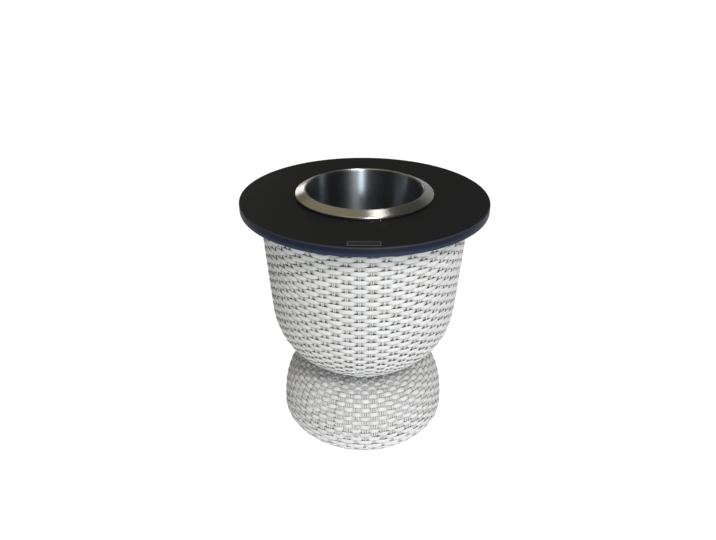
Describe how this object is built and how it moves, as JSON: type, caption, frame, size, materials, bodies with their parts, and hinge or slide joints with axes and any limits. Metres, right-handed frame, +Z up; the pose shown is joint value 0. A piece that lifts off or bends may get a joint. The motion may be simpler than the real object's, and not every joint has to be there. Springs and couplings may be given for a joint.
{
  "type": "ice bucket side table",
  "caption": "Low round side table: a thin dark top on a woven hourglass pedestal, with a steel ice bucket that hangs in a central hole and lifts out.",
  "frame": {"origin": "on the floor at the table's axis, at the centre of the bounding box's bottom", "axes": "+Z up along the table's axis, -Y towards the side with the blank plate"},
  "size_m": [0.4, 0.4, 0.4621],
  "materials": {
    "laminate": "matte black laminate with a blue-black edge",
    "plate": "dark grey satin, blank",
    "bucket_steel": "polished flange, turned brush marks inside",
    "woven_resin": "off-white resin strand with fine lengthwise grooves",
    "frame_aluminium": "plain welded tube and plate",
    "screw_steel": "plain",
    "insert_brass": "plain",
    "glide_plastic": "matte black"
  },
  "bodies": {
    "table": {"tabletop": "laminate", "badge_plate": "plate", "woven_bowl": "woven_resin", "woven_base": "woven_resin", "top_ring": "frame_aluminium", "bowl_ring": "frame_aluminium", "waist_ring": "frame_aluminium", "belly_ring": "frame_aluminium", "bottom_ring": "frame_aluminium", "bowl_rib_1": "frame_aluminium", "bowl_rib_2": "frame_aluminium", "bowl_rib_3": "frame_aluminium", "bowl_rib_4": "frame_aluminium", "bowl_rib_5": "frame_aluminium", "bowl_rib_6": "frame_aluminium", "bowl_rib_7": "frame_aluminium", "bowl_rib_8": "frame_aluminium", "base_rib_1": "frame_aluminium", "base_rib_2": "frame_aluminium", "base_rib_3": "frame_aluminium", "base_rib_4": "frame_aluminium", "base_rib_5": "frame_aluminium", "base_rib_6": "frame_aluminium", "base_rib_7": "frame_aluminium", "base_rib_8": "frame_aluminium", "top_tab_1": "frame_aluminium", "top_screw_1": "screw_steel", "top_insert_1": "insert_brass", "top_tab_2": "frame_aluminium", "top_screw_2": "screw_steel", "top_insert_2": "insert_brass", "top_tab_3": "frame_aluminium", "top_screw_3": "screw_steel", "top_insert_3": "insert_brass", "top_tab_4": "frame_aluminium", "top_screw_4": "screw_steel", "top_insert_4": "insert_brass", "foot_tab_1": "frame_aluminium", "foot_glide_1": "glide_plastic", "foot_tab_2": "frame_aluminium", "foot_glide_2": "glide_plastic", "foot_tab_3": "frame_aluminium", "foot_glide_3": "glide_plastic", "foot_tab_4": "frame_aluminium", "foot_glide_4": "glide_plastic"},
    "bucket": {"ice_bucket": "bucket_steel"}
  },
  "joints": [
    {"name": "bucket_lift", "type": "slide", "parent": "table", "child": "bucket", "axis": [0, 0, 1], "range_m": [0, 0.2]}
  ]
}
